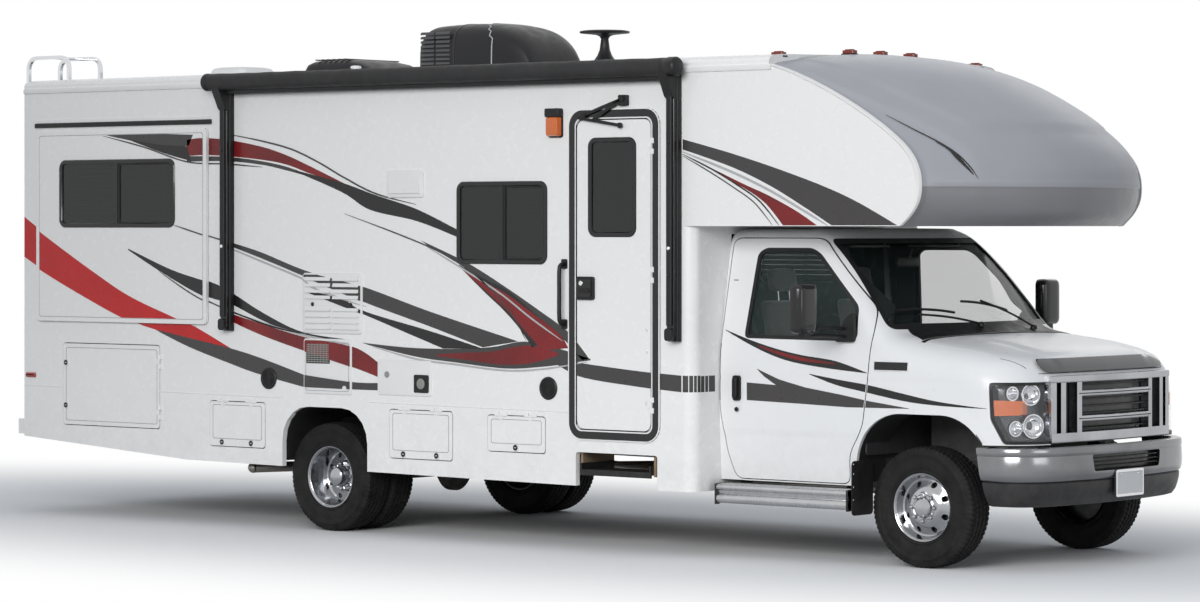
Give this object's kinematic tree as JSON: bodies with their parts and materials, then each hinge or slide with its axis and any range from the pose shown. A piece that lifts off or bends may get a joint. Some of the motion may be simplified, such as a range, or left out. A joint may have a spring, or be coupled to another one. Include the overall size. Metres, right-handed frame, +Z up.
{
  "type": "class C motorhome",
  "caption": "Cutaway-cab motorhome with a cabover bed, slide-out room, awning, entry door and step, luggage hatches, steering and rolling wheels",
  "frame": {"origin": "On the ground, midway between the two bumpers and on the centre line", "axes": "+X forward, +Y to the driver side, +Z up"},
  "size_m": [8.8, 2.95, 3.508],
  "materials": {
    "body_white": "gloss gel coat",
    "cab_white": "gloss paint",
    "cap_silver": "metallic gloss paint",
    "black_trim": "satin",
    "vent_plastic": "semi-gloss",
    "tinted_glass": "dark tint",
    "screen_glass": "light tint",
    "chrome": "bright",
    "chassis_black": "satin chassis paint",
    "engine_grey": "cast",
    "exhaust_steel": "dull",
    "tank_plastic": "moulded",
    "floor_board": "sealed",
    "tub_plastic": "moulded",
    "lamp_lens": "clear lens",
    "dash_plastic": "grained",
    "seat_cloth": "woven",
    "tread_plate": "diamond plate",
    "rim_steel": "polished liner",
    "tyre": "rubber"
  },
  "bodies": {
    "coach": {"chassis_frame": "chassis_black", "engine_block": "engine_grey", "front_axle": "chassis_black", "rear_axle": "chassis_black", "exhaust": "exhaust_steel", "underfloor_tanks": "tank_plastic", "coach_floor": "floor_board", "luggage_tubs": "tub_plastic", "side_wall_right": "body_white", "side_wall_left": "body_white", "rear_wall": "body_white", "roof": "body_white", "front_cap": "cap_silver", "cab_surround": "body_white", "coach_windows": "tinted_glass", "awning": "black_trim", "roof_air_conditioner": "black_trim", "roof_fittings": "black_trim", "ladder": "chrome", "rear_bumper": "body_white", "wall_fittings": "vent_plastic", "cab_shell": "cab_white", "fenders": "cab_white", "grille": "chrome", "headlights": "lamp_lens", "front_bumper": "chrome", "windshield": "screen_glass", "dashboard": "dash_plastic", "cab_seats": "seat_cloth", "running_boards": "tread_plate"},
    "hood": {"hood": "cab_white"},
    "cab_door_right": {"cab_door_right": "cab_white", "cab_glass_right": "screen_glass", "mirror_right": "black_trim"},
    "cab_door_left": {"cab_door_left": "cab_white", "cab_glass_left": "screen_glass", "mirror_left": "black_trim"},
    "entry_door": {"entry_door": "body_white", "entry_glass": "tinted_glass"},
    "slide_out": {"slide_out": "body_white", "slide_window": "tinted_glass"},
    "hatch_rear_right": {"hatch_rear_right": "body_white"},
    "hatch_aft_right": {"hatch_aft_right": "body_white"},
    "hatch_mid_right": {"hatch_mid_right": "body_white"},
    "hatch_front_right": {"hatch_front_right": "body_white"},
    "hatch_rear_left": {"hatch_rear_left": "body_white"},
    "hatch_mid_left": {"hatch_mid_left": "body_white"},
    "entry_step": {"entry_step": "black_trim"},
    "steering_wheel": {"steering_wheel": "dash_plastic"},
    "knuckle_right": {"knuckle_right": "engine_grey"},
    "knuckle_left": {"knuckle_left": "engine_grey"},
    "wheel_front_right": {"rim_front_right": "rim_steel", "tyre_front_right": "tyre"},
    "wheel_front_left": {"rim_front_left": "rim_steel", "tyre_front_left": "tyre"},
    "wheel_rear_right": {"rim_rear_right": "rim_steel", "tyre_rear_right": "tyre"},
    "wheel_rear_left": {"rim_rear_left": "rim_steel", "tyre_rear_left": "tyre"}
  },
  "joints": [
    {"name": "hood_hinge", "type": "hinge", "parent": "coach", "child": "hood", "pos_m": [3.431, 0, 1.408], "axis": [0, -1, 0], "range_deg": [0, 50]},
    {"name": "cab_door_right_hinge", "type": "hinge", "parent": "coach", "child": "cab_door_right", "pos_m": [3.156, -1.012, 1], "axis": [0, 0, 1], "range_deg": [0, 65]},
    {"name": "cab_door_left_hinge", "type": "hinge", "parent": "coach", "child": "cab_door_left", "pos_m": [3.156, 1.012, 1], "axis": [0, 0, -1], "range_deg": [0, 65]},
    {"name": "entry_door_hinge", "type": "hinge", "parent": "coach", "child": "entry_door", "pos_m": [1.643, -1.287, 1.78], "axis": [0, 0, 1], "range_deg": [0, 100]},
    {"name": "slide_out_travel", "type": "slide", "parent": "coach", "child": "slide_out", "axis": [0, -1, 0], "range_m": [0, 0.5]},
    {"name": "hatch_rear_right_hinge", "type": "hinge", "parent": "coach", "child": "hatch_rear_right", "pos_m": [-2.84312, -1.279, 0.945], "axis": [0, 0, 1], "range_deg": [0, 110]},
    {"name": "hatch_aft_right_hinge", "type": "hinge", "parent": "coach", "child": "hatch_aft_right", "pos_m": [-2.0656, -1.279, 0.864], "axis": [-1, 0, 0], "range_deg": [0, 95]},
    {"name": "hatch_mid_right_hinge", "type": "hinge", "parent": "coach", "child": "hatch_mid_right", "pos_m": [-0.33964, -1.279, 0.856], "axis": [-1, 0, 0], "range_deg": [0, 95]},
    {"name": "hatch_front_right_hinge", "type": "hinge", "parent": "coach", "child": "hatch_front_right", "pos_m": [0.50492, -1.279, 0.846], "axis": [-1, 0, 0], "range_deg": [0, 95]},
    {"name": "hatch_rear_left_hinge", "type": "hinge", "parent": "coach", "child": "hatch_rear_left", "pos_m": [-2.84312, 1.279, 0.945], "axis": [0, 0, -1], "range_deg": [0, 110]},
    {"name": "hatch_mid_left_hinge", "type": "hinge", "parent": "coach", "child": "hatch_mid_left", "pos_m": [-0.33964, 1.279, 0.856], "axis": [1, 0, 0], "range_deg": [0, 95]},
    {"name": "entry_step_travel", "type": "slide", "parent": "coach", "child": "entry_step", "axis": [0, -1, 0], "range_m": [0, 0.26]},
    {"name": "steering_left", "type": "hinge", "parent": "coach", "child": "knuckle_left", "pos_m": [3.52, 0.775, 0.372], "axis": [0, 0, 1], "range_deg": [-35, 35]},
    {"name": "steering_right", "type": "hinge", "parent": "coach", "child": "knuckle_right", "pos_m": [3.52, -0.775, 0.372], "axis": [0, 0, 1], "range_deg": [-35, 35]},
    {"name": "steering_wheel_turn", "type": "hinge", "parent": "coach", "child": "steering_wheel", "pos_m": [2.74, 0.42, 1.225], "axis": [-0.8192, 0, 0.5736], "range_deg": [-525, 525]},
    {"name": "wheel_front_right_spin", "type": "hinge", "parent": "knuckle_right", "child": "wheel_front_right", "pos_m": [3.52, -0.8815, 0.372], "axis": [0, 1, 0], "continuous": true},
    {"name": "wheel_front_left_spin", "type": "hinge", "parent": "knuckle_left", "child": "wheel_front_left", "pos_m": [3.52, 0.8815, 0.372], "axis": [0, 1, 0], "continuous": true},
    {"name": "wheel_rear_right_spin", "type": "hinge", "parent": "coach", "child": "wheel_rear_right", "pos_m": [-1.23, -0.988, 0.372], "axis": [0, 1, 0], "continuous": true},
    {"name": "wheel_rear_left_spin", "type": "hinge", "parent": "coach", "child": "wheel_rear_left", "pos_m": [-1.23, 0.988, 0.372], "axis": [0, 1, 0], "continuous": true}
  ],
  "couplings": [
    {"joint": "steering_right", "follows": "steering_left", "ratio": 1},
    {"joint": "steering_wheel_turn", "follows": "steering_left", "ratio": 15}
  ]
}
